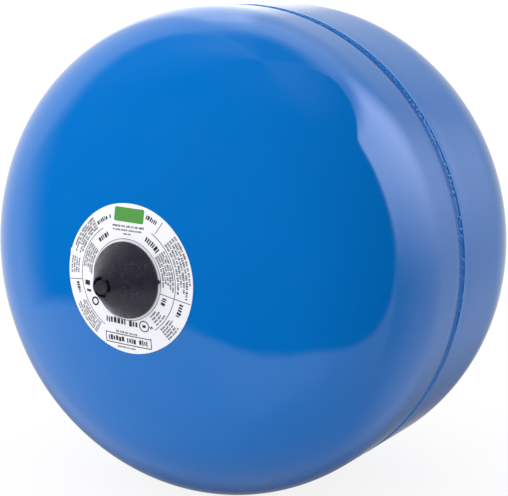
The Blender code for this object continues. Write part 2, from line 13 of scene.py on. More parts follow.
import bmesh
import bpy
import numpy as np
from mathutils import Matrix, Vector


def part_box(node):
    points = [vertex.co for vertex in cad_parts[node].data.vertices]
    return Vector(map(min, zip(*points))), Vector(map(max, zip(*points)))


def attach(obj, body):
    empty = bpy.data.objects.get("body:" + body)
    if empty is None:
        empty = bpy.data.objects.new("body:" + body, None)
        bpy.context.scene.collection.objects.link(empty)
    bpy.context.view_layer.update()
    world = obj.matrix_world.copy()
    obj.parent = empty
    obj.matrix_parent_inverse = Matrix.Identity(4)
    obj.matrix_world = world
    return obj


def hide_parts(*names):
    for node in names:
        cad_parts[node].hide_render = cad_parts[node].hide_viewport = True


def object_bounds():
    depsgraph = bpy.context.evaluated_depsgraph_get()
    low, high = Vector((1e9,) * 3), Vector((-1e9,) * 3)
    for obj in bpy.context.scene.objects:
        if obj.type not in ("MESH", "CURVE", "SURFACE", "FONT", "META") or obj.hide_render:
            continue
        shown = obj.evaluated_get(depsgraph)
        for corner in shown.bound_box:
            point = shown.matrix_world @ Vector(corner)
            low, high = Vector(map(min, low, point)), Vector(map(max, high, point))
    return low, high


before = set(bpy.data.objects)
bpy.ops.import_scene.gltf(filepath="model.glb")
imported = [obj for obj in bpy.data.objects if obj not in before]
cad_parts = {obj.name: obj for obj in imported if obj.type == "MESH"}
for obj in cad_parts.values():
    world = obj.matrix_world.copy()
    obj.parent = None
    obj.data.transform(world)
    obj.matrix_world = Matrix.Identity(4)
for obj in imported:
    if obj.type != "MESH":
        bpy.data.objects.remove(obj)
CAD_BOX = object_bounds()

MM = 0.001
DEGREE = math.radians(1)

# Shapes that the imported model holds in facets, and that the finished meshes draw round.
CROWN_RADIUS = 241 * MM
KNUCKLE_RADIUS = 75 * MM
WALL = 1.2 * MM
GAS_RIM = 2.7 * MM
VALVE_SEAT_RADIUS = 12 * MM
PIPE_SEAT_RADIUS = 26 * MM

# Rows of points to one turn of a thread.
VALVE_THREAD_ROWS = 8
PIPE_THREAD_ROWS = 12


def span(node):
    """A node's lowest and highest height along the axis, and its greatest radius."""
    low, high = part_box(node)
    return -high.y, -low.y, max(high.x, high.z)


BODY_RADIUS = span("gas_side_shell")[2]
SEAM = span("gas_side_shell")[0] - GAS_RIM
# The seam's groove, which runs from the gas side's rim to where the water side comes back out.
GROOVE_MIDDLE = SEAM - 1.0 * MM
GROOVE_HALF_WIDTH = 2.1 * MM
CROWN_DROP = math.sqrt((CROWN_RADIUS - KNUCKLE_RADIUS) ** 2 - (BODY_RADIUS - KNUCKLE_RADIUS) ** 2)
HEAD_DEPTH = CROWN_RADIUS - CROWN_DROP


def crown_fall(radius):
    """How far a crown has fallen away from its top at this radius."""
    return CROWN_RADIUS - np.sqrt(CROWN_RADIUS**2 - np.square(radius))


VALVE_SEAT = span("gas_side_shell")[1]
PIPE_SEAT = span("water_side_shell")[0]
GAS_END = VALVE_SEAT + crown_fall(VALVE_SEAT_RADIUS)
WATER_END = PIPE_SEAT - crown_fall(PIPE_SEAT_RADIUS)
GAS_SKIRT = GAS_END - HEAD_DEPTH - SEAM
WATER_SKIRT = SEAM - WATER_END - HEAD_DEPTH


# ---------------- shader nodes

WHITE = (1, 1, 1)


def rgb(colour):
    return (*colour, 1.0)


class Nodes:
    """Adds nodes to one shader tree. A value is a number, or what another node gives."""

    def __init__(self, tree):
        self.tree = tree

    def add(self, kind, inputs=(), **options):
        """A node with these options, and its inputs set or linked, by name or by number."""
        made = self.tree.nodes.new(kind)
        for name, value in options.items():
            setattr(made, name, value)
        for socket, value in dict(inputs).items():
            if isinstance(value, bpy.types.NodeSocket):
                self.tree.links.new(value, made.inputs[socket])
            else:
                made.inputs[socket].default_value = value
        return made

    def calc(self, operation, *values):
        return self.add("ShaderNodeMath", dict(enumerate(values)), operation=operation).outputs[0]

    def times(self, *values):
        return functools.reduce(lambda one, other: self.calc("MULTIPLY", one, other), values)

    def plus(self, *values):
        return functools.reduce(lambda one, other: self.calc("ADD", one, other), values)

    def most(self, one, other):
        return self.calc("MAXIMUM", one, other)

    def ramp(self, value, start, end, low=0.0, high=1.0):
        """Low up to start, high from end on, and a smooth turn between them."""
        inputs = {"Value": value, "From Min": start, "From Max": end, "To Min": low, "To Max": high}
        return self.add("ShaderNodeMapRange", inputs, interpolation_type="SMOOTHSTEP").outputs["Result"]

    def mix(self, share, first, second):
        """The first value where share is 0 and the second where it is 1."""
        return self.add("ShaderNodeMix", {0: share, 2: first, 3: second}).outputs[0]

    def mix_colours(self, share, *colours):
        """The first colour where share is 0 and the second where it is 1."""
        first, second = (rgb(colour) if isinstance(colour, tuple) else colour for colour in colours)
        return self.add("ShaderNodeMix", {0: share, 6: first, 7: second}, data_type="RGBA").outputs[2]

    def axes(self, place):
        """The X, Y and Z of a place or a direction."""
        return self.add("ShaderNodeSeparateXYZ", {0: place}).outputs


class Look(Nodes):
    """A Principled material in the making. Its patterns go by each point's place in object space."""

    def __init__(self, name, colour, roughness, metallic=0.0, **constants):
        self.material = bpy.data.materials.new(name)
        self.material.use_nodes = True
        super().__init__(self.material.node_tree)
        self.shader = self.tree.nodes["Principled BSDF"]
        constants |= {"Base Color": rgb(colour), "Roughness": roughness, "Metallic": metallic}
        for socket, value in constants.items():
            self.shader.inputs[socket].default_value = value
        self.place = self.add("ShaderNodeTexCoord").outputs["Object"]

    def clouds(self, size, detail):
        """Noise from 0 to 1 whose patches are about this size, in metres."""
        inputs = {"Vector": self.place, "Scale": 1 / size, "Detail": detail}
        return self.add("ShaderNodeTexNoise", inputs).outputs["Fac"]

    def axis_distance(self):
        """How far a point is from the vessel's axis."""
        x, _, z = self.axes(self.place)
        return self.calc("SQRT", self.plus(self.times(x, x), self.times(z, z)))

    def vary(self, socket, value):
        self.tree.links.new(value, self.shader.inputs[socket])

    def tint(self, share, first, second):
        """Turns the base colour from the first where share is 0 to the second where it is 1."""
        self.vary("Base Color", self.mix_colours(share, first, second))

    def patches(self, size, detail, low, high):
        """Clouds of about this size, with more contrast, from low to high."""
        return self.ramp(self.clouds(size, detail), 0.3, 0.7, low, high)

    def bump(self, height, depth):
        """Raises the surface by depth metres where height is 1, on top of any bump already there."""
        bump = self.add("ShaderNodeBump", {"Height": height, "Distance": depth, "Strength": 1.0})
        normal = self.shader.inputs["Normal"]
        if normal.is_linked:
            self.tree.links.new(normal.links[0].from_socket, bump.inputs["Normal"])
        self.vary("Normal", bump.outputs["Normal"])


# ---------------- materials


def painted_groove_shade(look):
    """Painted shade in the seam's groove: 1 in its upper part, less towards the underside, and 0 outside the
    groove.
    """
    _, along, up = look.axes(look.place)
    aside = look.calc("ABSOLUTE", look.plus(along, GROOVE_MIDDLE))
    sunk = look.ramp(look.axis_distance(), BODY_RADIUS - 1.0 * MM, BODY_RADIUS - 0.45 * MM, 1.0, 0.0)
    near = look.ramp(aside, GROOVE_HALF_WIDTH, GROOVE_HALF_WIDTH + 0.7 * MM, 1.0, 0.0)
    return look.times(sunk, near, look.ramp(up, -20 * MM, 85 * MM, 0.3, 1.0))


def blue_paint():
    """Gloss enamel: faint orange peel, uneven gloss and film, and painted shade in the seam's groove, which
    is darker there and mirrors less light.
    """
    look = Look("blue_enamel", (0.0005, 0.13, 0.45), 0.06, IOR=1.5)
    skin = look.mix_colours(look.clouds(45 * MM, 3), (0.0004, 0.126, 0.438), (0.0008, 0.134, 0.462))
    painted_shade = painted_groove_shade(look)
    # Painted shade: the paint turns darker blue in the seam's groove, most along the top, and mirrors less
    # light there.
    look.tint(painted_shade, skin, (0.0003, 0.075, 0.3))
    look.vary("Roughness", look.mix(painted_shade, look.patches(18 * MM, 4, 0.035, 0.065), 0.4))
    look.vary("Specular IOR Level", look.mix(painted_shade, 0.5, 0.16))
    look.bump(look.clouds(2.2 * MM, 1), 0.008 * MM)
    look.bump(look.clouds(14 * MM, 1), 0.02 * MM)
    return look.material


def black_plastic():
    """Moulded polyethylene with a fine spark-eroded grain and pale dust caught in it."""
    look = Look("charcoal_plastic", (0.020, 0.018, 0.032), 0.42, IOR=1.5)
    dust = look.ramp(look.clouds(0.6 * MM, 1), 0.62, 0.72)
    specks = look.times(dust, look.ramp(look.clouds(12 * MM, 2), 0.3, 0.6))
    moulding = look.mix_colours(look.clouds(2.5 * MM, 3), (0.012, 0.011, 0.021), (0.028, 0.025, 0.043))
    look.tint(specks, moulding, (0.10, 0.085, 0.08))
    look.vary("Roughness", look.patches(3 * MM, 3, 0.3, 0.48))
    look.bump(look.clouds(0.7 * MM, 2), 0.08 * MM)
    return look.material


def label_film():
    """White printed film, a little uneven where it follows the dome."""
    look = Look("white_film", (0.76, 0.76, 0.82), 0.38)
    look.tint(look.clouds(9 * MM, 3), (0.745, 0.745, 0.805), (0.775, 0.775, 0.835))
    look.vary("Roughness", look.patches(4 * MM, 2, 0.34, 0.44))
    look.bump(look.clouds(6 * MM, 2), 0.02 * MM)
    return look.material


def ink(name, colour):
    """Printing ink, slightly mottled."""
    look = Look(name, colour, 0.45)
    tone = look.clouds(0.6 * MM, 2)
    look.tint(tone, colour, tuple(min(1.0, 1.25 * c + 0.012) for c in colour))
    look.bump(tone, 0.004 * MM)
    return look.material


def metal(name, colour, dull, roughness, mark_pitch, mark_depth):
    """Turned metal: fine tool marks round the axis, and patches where it has dulled."""
    look = Look(name, colour, roughness, 1.0)
    look.tint(look.ramp(look.clouds(3 * MM, 4), 0.35, 0.7), colour, dull)
    look.vary("Roughness", look.patches(1.2 * MM, 3, roughness, roughness + 0.16))
    travel = look.plus(look.axis_distance(), look.axes(look.place)[1])
    look.bump(look.calc("SINE", look.times(travel, math.tau / mark_pitch)), mark_depth)
    return look.material


def rubber(name, colour, bloom, roughness):
    """Moulded rubber with a pale bloom on it."""
    look = Look(name, colour, roughness)
    look.tint(look.ramp(look.clouds(6 * MM, 4), 0.4, 0.75), colour, bloom)
    look.vary("Roughness", look.patches(2 * MM, 2, roughness - 0.08, roughness + 0.1))
    look.bump(look.clouds(0.6 * MM, 3), 0.02 * MM)
    return look.material


def white_plastic():
    """Smooth moulded polypropylene."""
    look = Look("white_polypropylene", (0.78, 0.78, 0.75), 0.4)
    look.tint(look.clouds(5 * MM, 3), (0.75, 0.75, 0.71), (0.81, 0.81, 0.79))
    look.vary("Roughness", look.patches(2 * MM, 2, 0.34, 0.46))
    look.bump(look.clouds(1.5 * MM, 2), 0.008 * MM)
    return look.material


# The material of each of the record's slots that a finished piece takes.
FINISHES = {
    "blue_paint": blue_paint(),
    "black_plastic": black_plastic(),
    "label_film": label_film(),
    "zinc_steel": metal("zinc_plate", (0.60, 0.61, 0.63), (0.48, 0.49, 0.50), 0.26, 0.3 * MM, 0.003 * MM),
    "stainless": metal(
        "bright_stainless", (0.66, 0.66, 0.66), (0.56, 0.56, 0.57), 0.2, 0.25 * MM, 0.002 * MM
    ),
    "brass": metal("turned_brass", (0.80, 0.58, 0.26), (0.62, 0.44, 0.20), 0.22, 0.2 * MM, 0.003 * MM),
    "black_rubber": rubber("black_epdm", (0.022, 0.022, 0.023), (0.05, 0.05, 0.05), 0.6),
    "butyl_rubber": rubber("dusted_butyl", (0.035, 0.035, 0.037), (0.10, 0.10, 0.10), 0.62),
    "white_plastic": white_plastic(),
}


# ---------------- turned meshes

# Edges that turn by more than this many degrees stay sharp, on small pieces and on shells and welds.
SMOOTH_BELOW = 32
SMOOTH_STEEL = 50


def as_object(name, shape, sharp=SMOOTH_BELOW):
    """An object from a bmesh: faces outwards, smooth but for edges over this many degrees."""
    bmesh.ops.recalc_face_normals(shape, faces=shape.faces)
    mesh = bpy.data.meshes.new(name)
    shape.to_mesh(mesh)
    shape.free()
    mesh.shade_smooth()
    mesh.set_sharp_from_angle(angle=math.radians(sharp))
    obj = bpy.data.objects.new(name, mesh)
    bpy.context.scene.collection.objects.link(obj)
    return obj


def fit(obj, slot, *nodes, body="vessel", material=None):
    """Finishes a piece with its slot's material, or its own, and puts it in place of these CAD nodes."""
    obj.data.materials.append(material or FINISHES[slot])
    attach(obj, body)
    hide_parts(*nodes)


def line(start, end, step):
    """Points from start to end, no further apart than step, without the last."""
    start, end = Vector(start), Vector(end)
    count = max(1, math.ceil((end - start).length / step))
    return [tuple(start.lerp(end, i / count)) for i in range(count)]


def arc(centre, radius, start, end, count):
    """Points round an arc of a profile, angles in radians from the outward direction."""
    angles = np.linspace(start, end, count + 1)
    return [(centre[0] + radius * math.cos(a), centre[1] + radius * math.sin(a)) for a in angles]


def rounded(*corners, steps=3):
    """A closed profile through these corners, each (radius, height, cut), rounded over that cut."""
    points = []
    for i, (radius, height, cut) in enumerate(corners):
        here = Vector((radius, height))
        if not cut:
            points.append(tuple(here))
            continue
        sides = []
        for other in (corners[i - 1], corners[(i + 1) % len(corners)]):
            side = Vector(other[:2]) - here
            sides.append(here + side.normalized() * min(cut, 0.45 * side.length))
        for k in range(steps + 1):
            t = k / steps
            bend = sides[0] * (1 - t) ** 2 + here * 2 * t * (1 - t) + sides[1] * t * t
            points.append(tuple(bend))
    return points


def turned(profile, steps, shape=None):
    """A bmesh of this closed profile turned round the axis, with this many steps to the turn.

    shape takes the radius, height and angle of every point and returns its new radius and height. A
    profile that touches the axis closes there.
    """
    rows = len(profile)
    radius, height = (np.repeat(values[:, None], steps, 1) for values in np.array(profile, float).T)
    angle = np.repeat((np.arange(steps) * math.tau / steps)[None, :], rows, 0)
    if shape:
        radius, height = shape(radius, height, angle)
    points = np.stack([radius * np.cos(angle), -height, radius * np.sin(angle)], -1).reshape(-1, 3)
    made = bmesh.new()
    verts = [made.verts.new(point) for point in points]
    for i in range(rows):
        above = ((i + 1) % rows) * steps
        for j in range(steps):
            k = (j + 1) % steps
            made.faces.new((verts[i * steps + j], verts[i * steps + k], verts[above + k], verts[above + j]))
    bmesh.ops.remove_doubles(made, verts=made.verts, dist=1e-7)
    bmesh.ops.dissolve_degenerate(made, edges=made.edges, dist=1e-8)
    return made


def skin_rings(shape, rings, closed=False):
    """Joins each ring of points to the next, and closes both ends unless the last ring meets the first."""
    count = len(rings[0])
    for ring, after in zip(rings, rings[1:] + rings[:1] if closed else rings[1:]):
        for k in range(count):
            n = (k + 1) % count
            shape.faces.new((ring[k], ring[n], after[n], after[k]))
    if not closed:
        shape.faces.new(rings[0])
        shape.faces.new(rings[-1][::-1])


def threading(low, high, crest, pitch, depth):
    """A shape that cuts a right-hand thread into what stands at the crest radius between two heights.

    Its grooves have sloping sides, with a flat root and a flat crest, and run out over a pitch at each end.
    """

    def cut(radius, height, angle):
        phase = (height / pitch - angle / math.tau) % 1
        groove = np.clip(1.5 * np.abs(2 * phase - 1) - 0.25, 0, 1)
        fade = np.clip((height - low) / pitch, 0, 1) * np.clip((high - height) / pitch, 0, 1)
        standing = (radius > crest - 0.3 * depth) & (height > low) & (height < high)
        return np.where(standing, radius - depth * groove * fade, radius), height

    return cut


def both(first, second):
    """One shape after the other."""

    def cut(radius, height, angle):
        return second(*first(radius, height, angle), angle)

    return cut


# ---------------- vessel

WAVE_HEIGHT = 0.05 * MM


def shell_waves(side):
    """The slight waves of drawn sheet, which bend what the paint mirrors. They die out at rim and seat."""

    def push(radius, height, angle):
        along = (height - SEAM) * side
        calm = np.clip(along / (25 * MM), 0, 1) * np.clip((radius - 45 * MM) / (40 * MM), 0, 1)
        wave = (
            np.sin(3 * angle + 1.3 + along * 21)
            + 0.7 * np.sin(5 * angle + 4.0 - along * 34)
            + 0.4 * np.sin(9 * angle + 0.6 + along * 47)
        )
        lift = WAVE_HEIGHT * wave * calm
        reach = np.hypot(radius, height - SEAM)
        return radius * (1 + lift / reach), SEAM + (height - SEAM) * (1 + lift / reach)

    return push


def shell(name, cad_node, side, sizes, rim, rim_lining):
    """One painted half: side is 1 for the gas side and -1 for the water side.

    sizes are the skirt's length and the radii of the seat and of the hole in it. The rim's outline and its
    lining are pairs, in millimetres: how far under the skin, and how far from the seam towards this side.
    """
    skirt, seat_radius, hole_radius = sizes
    knuckle_arc = math.atan2(CROWN_DROP, BODY_RADIUS - KNUCKLE_RADIUS)
    seat_arc = math.acos(seat_radius / CROWN_RADIUS)

    def skin(inset, edge, count):
        """The surface this far in, from the end of its rim to the hole's edge."""
        start = (BODY_RADIUS - edge[-1][0] * MM, edge[-1][1] * MM)
        knuckle_centre = (BODY_RADIUS - KNUCKLE_RADIUS, skirt)
        knuckle = arc(knuckle_centre, KNUCKLE_RADIUS - inset, 0, knuckle_arc, count)
        crown = arc((0, skirt - CROWN_DROP), CROWN_RADIUS - inset, knuckle_arc, seat_arc, count)
        seat = crown[-1]
        curl = [(BODY_RADIUS - depth * MM, u * MM) for depth, u in edge[:-1]]
        return curl + line(start, knuckle[0], 6 * MM) + knuckle + crown[1:] + [
            (0.5 * (seat[0] + hole_radius), seat[1]),
            (hole_radius, seat[1]),
        ]

    outside = skin(0, rim, 34)
    inside = skin(WALL, rim_lining, 16)
    profile = [(r, SEAM + side * u) for r, u in outside + inside[::-1]]
    made = turned(profile, 288, shell_waves(side))
    fit(as_object(name, made, SMOOTH_STEEL), "blue_paint", cad_node)


def shells():
    """The gas side, whose rim turns in to a blunt edge, and the water side, which is necked in under it."""
    gas_rim = [(1.5, 1.85), (0.9, 1.85), (0.6, 1.9), (0.4, 2.02), (0.24, 2.25), (0.15, 2.6)]
    gas_rim += [(0.1, 3.1), (0.06, 4), (0.02, 6), (0, 8.5)]
    gas_lining = [(1.9, 2.0), (1.6, 3.2), (1.3, 4.7), (WALL / MM, 6.2)]
    gas_sizes = GAS_SKIRT, VALVE_SEAT_RADIUS, 6.2 * MM
    shell("gas_shell_skin", "gas_side_shell", 1, gas_sizes, gas_rim, gas_lining)
    water_rim = [(2.2, -7.7), (2.2, -1), (2.15, 2.6), (2.0, 3.2), (1.6, 3.75), (1.05, 4.3)]
    water_rim += [(0.6, 4.75), (0.32, 4.98), (0.12, 5.15), (0.02, 5.35), (0, 5.6), (0.05, 6.2), (0.13, 7.2)]
    water_rim += [(0.15, 8.5), (0.11, 10.5), (0.04, 13), (0, 16)]
    water_lining = [(3.3, -7.7), (3.3, 2.6), (2.8, 4.2), (1.9, 5.4), (WALL / MM, 6.6)]
    water_sizes = WATER_SKIRT, PIPE_SEAT_RADIUS, 15 * MM
    shell("water_shell_skin", "water_side_shell", -1, water_sizes, water_rim, water_lining)


def seam_bead():
    """The weld at the foot of the groove: rippled in chevrons, with spatters up its water-side edge.

    Its outline is in millimetres: depths under the skin, and distances from the seam. Every wave goes a
    whole number of times round the seam, so that its ends meet.
    """
    deep, crown = 1.95, 1.45

    def ripples(radius, height, angle):
        u = (height - SEAM) / MM
        chevrons = np.sin(angle * 290 + 0.5 * u**2 + 1.5 * np.sin(angle * 23))
        lumps = np.sin(angle * 97 + 1.7 * np.sin(angle * 41)) * np.sin(angle * 29 + 2)
        blots = np.sin(angle * 151 + 2.3 * np.sin(angle * 37)) * np.sin(angle * 19 + 1) * np.sin(angle * 53)
        spatter = np.clip(1.6 * blots + 0.35 * lumps - 0.15, -0.3, 1)
        skin = radius > BODY_RADIUS - (deep - 0.05) * MM
        climb = np.clip((-2.6 - u) / 1.2, 0, 1) * skin
        lift = skin * (0.13 * chevrons + 0.10 * lumps) + climb * (0.55 * spatter - 0.12)
        return radius + lift * MM, height - climb * 0.5 * spatter * MM

    outline = [(deep, 1.9), (crown + 0.3, 1.85), (crown + 0.2, 1.3), (crown + 0.06, 0.6)]
    outline += [(crown, -0.1), (crown, -0.9), (crown - 0.02, -1.7), (crown - 0.1, -2.4)]
    outline += [(crown - 0.3, -3.0), (crown - 0.6, -3.5), (crown - 0.9, -3.95), (crown - 1.1, -4.4)]
    outline += [(crown - 0.9, -4.75), (crown - 0.2, -4.3), (deep, -3.2), (deep + 0.1, -2), (deep + 0.1, 0)]
    profile = [(BODY_RADIUS - depth * MM, SEAM + u * MM) for depth, u in outline]
    made = turned(profile, 1440, ripples)
    fit(as_object("seam_bead", made, SMOOTH_STEEL), "blue_paint", "seam_weld")


# ---------------- label

LABEL_LIFT = 0.1 * MM
LABEL_TOP = 0.3 * MM
LABEL_INNER, LABEL_OUTER = 14 * MM, span("rating_label")[2]
TAB_ANGLE = math.radians(163)
INK_FOOT = LABEL_TOP - 0.02 * MM
INK_TOP = LABEL_TOP + 0.03 * MM

# The layout of the print: lengths in millimetres, and angles in degrees. The circles are at these radii,
# and the boxed line and the green block lean by the tilt, which is also given as a slope.
INNER_CIRCLE, MIDDLE_CIRCLE = 21.7, 30.2
LINE_WIDTH = 0.36
FOOT_TILT = -2
LEAN = 0.035


def on_label(x, z, lift):
    """A point this far above the dome's paint, at these places across the label."""
    return Vector((x, -(GAS_END - float(crown_fall(math.hypot(x, z))) + lift), z))


def label():
    """The ring of film. Its edge kicks out in a small tab where the die cut began and ended."""
    radii = np.linspace(LABEL_INNER, LABEL_OUTER, 12)
    profile = [(r, LABEL_TOP) for r in radii] + [(r, LABEL_LIFT) for r in radii[::-1]]

    def drape(radius, height, angle):
        turn = (angle - TAB_ANGLE + math.pi) % math.tau - math.pi
        tab = np.clip(1 - np.abs(turn) / math.radians(2.4), 0, 1) * np.where(turn > 0, 0.6, 1.0)
        edge = ((radius - LABEL_INNER) / (LABEL_OUTER - LABEL_INNER)) ** 6
        wavy = 0.06 * MM * np.sin(7 * angle) * edge
        radius = radius + 0.9 * MM * tab * edge + wavy
        return radius, GAS_END - crown_fall(radius) + height

    made = turned(profile, 300, drape)
    fit(as_object("label_ring", made), "label_film", "rating_label")


def strip(shape, first, second, closed=False):
    """A thin printed strip between two lines of (x, z) points."""
    rings = []
    for a, b in zip(first, second):
        places = ((*a, INK_FOOT), (*b, INK_FOOT), (*b, INK_TOP), (*a, INK_TOP))
        rings.append([shape.verts.new(on_label(*place)) for place in places])
    skin_rings(shape, rings, closed)


def round_point(radius, degrees):
    angle = math.radians(degrees)
    return radius * math.cos(angle), radius * math.sin(angle)


def arc_mark(shape, radius, width, start, end, centre=(0, 0)):
    """A printed arc. Angles are in degrees, radius and width in millimetres."""
    whole = abs(end - start) >= 360
    count = max(2, math.ceil(abs(end - start) * radius / 100))
    turns = [start + (end - start) * i / count for i in range(count + (not whole))]
    lines = []
    for r in (radius - width / 2, radius + width / 2):
        points = [round_point(r * MM, turn) for turn in turns]
        lines.append([(centre[0] * MM + x, centre[1] * MM + z) for x, z in points])
    strip(shape, *lines, closed=whole)


def radial_mark(shape, inner, outer, degrees, width):
    """A straight printed line outwards from the middle."""
    half = math.degrees(width / 2 / inner)
    radii = np.linspace(inner, outer, 5)
    spread = [half * inner / r for r in radii]
    lines = [[round_point(r * MM, degrees + s * d) for r, d in zip(radii, spread)] for s in (-1, 1)]
    strip(shape, *lines)


def bar_mark(shape, x, z, width, height, tilt=0.0):
    """A printed bar, centred on a point and turned by tilt degrees."""
    turn = math.radians(tilt)
    along, up = Vector((math.cos(turn), math.sin(turn))), Vector((-math.sin(turn), math.cos(turn)))
    centre = Vector((x, z))
    lines = []
    for side in (-1, 1):
        steps = np.linspace(-0.5, 0.5, max(2, math.ceil(width / 3)))
        lines.append([tuple((centre + along * width * s + up * height * 0.5 * side) * MM) for s in steps])
    strip(shape, *lines)


def ticks(rng, length, size):
    """Stand-ins for a line of print: strokes of uneven width and height, in groups with gaps.

    Yields (start, width, foot, head) in millimetres along a line of this length.
    """
    at, left = 0.0, rng.randint(3, 9)
    while at < length - 0.2 * size:
        width = size * rng.choice((0.24, 0.28, 0.36, 0.5))
        foot = -0.5 * size * rng.choice((0.8, 0.8, 1.0))
        head = 0.5 * size * rng.choice((0.7, 0.85, 1.0))
        yield at, width, foot, head
        at += width + size * rng.uniform(0.14, 0.24)
        left -= 1
        if not left:
            at += 0.5 * size
            left = rng.randint(3, 9)


def curved_print(shape, rng, radius, size, start, end):
    """A line of small print along an arc, from one angle to another."""
    sign = 1 if end > start else -1
    per_degree = DEGREE * radius
    for at, width, foot, head in ticks(rng, abs(end - start) * per_degree, size):
        turns = [start + sign * place / per_degree for place in (at, at + width)]
        lines = [[round_point((radius + edge) * MM, turn) for turn in turns] for edge in (foot, head)]
        strip(shape, *lines)


def straight_print(shape, rng, x, z, length, size, tilt=0.0):
    """A line of small print centred on a point."""
    turn = math.radians(tilt)
    for at, width, foot, head in ticks(rng, length, size):
        offset = at + width / 2 - length / 2
        lift = (foot + head) / 2
        cx = x + offset * math.cos(turn) - lift * math.sin(turn)
        cz = z + offset * math.sin(turn) + lift * math.cos(turn)
        bar_mark(shape, cx, cz, width, head - foot, tilt)


def print_block(shape, rng, outer, inner, rows, start, end, size):
    """Rows of small print along arcs, ragged at their far end."""
    for i in range(rows):
        radius = outer + (inner - outer) * i / max(1, rows - 1)
        curved_print(shape, rng, radius, size, start, start + (end - start) * rng.uniform(0.72, 1.0))


def label_frame(shape):
    """The printed circles and dividers."""
    arc_mark(shape, INNER_CIRCLE, 0.3, 0, 360)
    arc_mark(shape, MIDDLE_CIRCLE, LINE_WIDTH, -56, 59)
    arc_mark(shape, MIDDLE_CIRCLE, LINE_WIDTH, 121, 239)
    radial_mark(shape, 31.3, 38.6, 55.6, LINE_WIDTH)
    radial_mark(shape, INNER_CIRCLE, 39.6, -13.3, LINE_WIDTH)
    radial_mark(shape, 30.3, 39.8, 185.7, LINE_WIDTH)


def label_small_print(shape, rng):
    """The blocks of small print: outer and inner radius, rows, start, end, and the size of the print."""
    outer_ring = (
        (38.0, 32.2, 5, 127, 163, 1.2),
        (38.0, 33.0, 4, 166, 183, 1.1),
        (38.4, 31.8, 5, 41, -12, 1.25),
        (37.9, 31.8, 5, 235, 203, 1.15),
        (38.2, 32.0, 5, -50, -33, 1.15),
    )
    inner_ring = (
        (28.9, 23.4, 5, 143, 178, 1.1),
        (28.9, 23.2, 5, 37, -11, 1.15),
        (28.6, 23.4, 4, -51, -33, 1.1),
    )
    for block in outer_ring + inner_ring:
        print_block(shape, rng, *block)


def label_large_print(shape, rng):
    """The larger figures of the two rings, and the three centred lines at the top."""
    outer_ring = (34.3, 2.3, 125, 108), (36.0, 2.4, 71, 59)
    inner_ring = (26.3, 2.9, 133, 115.5), (25.8, 3.1, 62, 40), (24.9, 2.9, -17, -28)
    lower_outer_ring = (34.8, 2.7, -16, -29), (34.0, 2.2, 198, 187)
    for radius, size, start, end in outer_ring + inner_ring + lower_outer_ring:
        curved_print(shape, rng, radius, size, start, end)
    for x, z, length, size in ((0.7, 28.1, 20, 1.15), (0.6, 26.1, 19, 0.95), (0.4, 24.2, 5, 0.95)):
        straight_print(shape, rng, x, z, length, size, -1)


def label_foot(shape, rng):
    """The wide line, the round mark, the boxed line with a line above and below it, and three signs."""
    straight_print(shape, rng, -3.9, -22.9, 20.5, 3.5, -3)
    arc_mark(shape, 2.9, 0.6, 0, 360, (10.4, -23.8))
    bar_mark(shape, 10.4, -23.8, 2.0, 1.5, -3)
    straight_print(shape, rng, 14.9, -24.0, 2.0, 1.8, 30)
    straight_print(shape, rng, -1.2, -28.9, 14, 1.1, -3)
    box_width, box_height, box_line = 29.6, 5.6, 0.5
    for x, z in ((-0.6, -30.3), (-0.9, -35.6)):
        bar_mark(shape, x, z, box_width, box_line, FOOT_TILT)
    for x in (-15.4, 13.9):
        bar_mark(shape, x, -32.5 - LEAN * x, box_line, box_height, FOOT_TILT)
    straight_print(shape, rng, -0.8, -32.95, 26, 3.0, FOOT_TILT)
    straight_print(shape, rng, -2.4, -37.3, 11.5, 1.0, FOOT_TILT)
    bar_mark(shape, -26.4, -4.4, 3.4, 2.6, -4)
    bar_mark(shape, -25.6, -8.6, 3.0, 1.2, -4)
    arc_mark(shape, 2.1, 1.0, 0, 360, (-21.3, -13.9))


def green_block(shape):
    """The plain block that heads the label, with rounded corners."""
    half_width, half_height, corner = 9.4, 3.7, 0.9
    middle_x, middle_z = 0.9, 34.1
    lines = [[], []]
    for x in np.linspace(-half_width, half_width, 61):
        inside = max(0.0, abs(x) - (half_width - corner))
        reach = half_height - corner + math.sqrt(corner**2 - min(inside, 0.98 * corner) ** 2)
        for side, points in zip((-1, 1), lines):
            z = side * reach
            points.append(((middle_x + x + LEAN * z) * MM, (middle_z + z - LEAN * x) * MM))
    strip(shape, *lines)


def label_print():
    """The print: generic strokes stand for every word and mark, and a plain green block heads it."""
    rng = random.Random(12)
    shape = bmesh.new()
    label_frame(shape)
    label_small_print(shape, rng)
    label_large_print(shape, rng)
    label_foot(shape, rng)
    black = ink("black_ink", (0.012, 0.012, 0.014))
    fit(as_object("label_print_black", shape), "label_film", material=black)
    block = bmesh.new()
    green_block(block)
    green = ink("green_ink", (0.055, 0.27, 0.035))
    fit(as_object("label_print_green", block), "label_film", material=green)


# ---------------- valve cover

COVER_BASE, COVER_TOP, _ = span("valve_cover")
COVER_RADIUS = 20.4 * MM
COVER_HEIGHT = 20.6 * MM
TIP_RADIUS = 5.9 * MM
BUTTON_RADIUS, BUTTON_RISE = 3.7 * MM, 1.3 * MM
FINGER_INNER, FINGER_OUTER = 4.15 * MM, 5.35 * MM
FINGER_LENGTH = 11 * MM
COVER_ROOF = COVER_HEIGHT - 1.5 * MM

# Angles round the tip and the rim, in degrees.
SLOT_MIDDLES = (14, 134, 254)
SLOT_ARC = 82
NIB_ANGLE = 4


def ring_block(inner, outer, low, high, middle, spread):
    """A solid piece of a ring, angles in degrees."""
    made = bmesh.new()
    corners = ((inner, low), (outer, low), (outer, high), (inner, high))
    rings = []
    for turn in np.linspace(middle - spread / 2, middle + spread / 2, 17):
        c, s = math.cos(math.radians(turn)), math.sin(math.radians(turn))
        rings.append([made.verts.new((r * c, -h, r * s)) for r, h in corners])
    skin_rings(made, rings)
    return as_object("cutter", made)


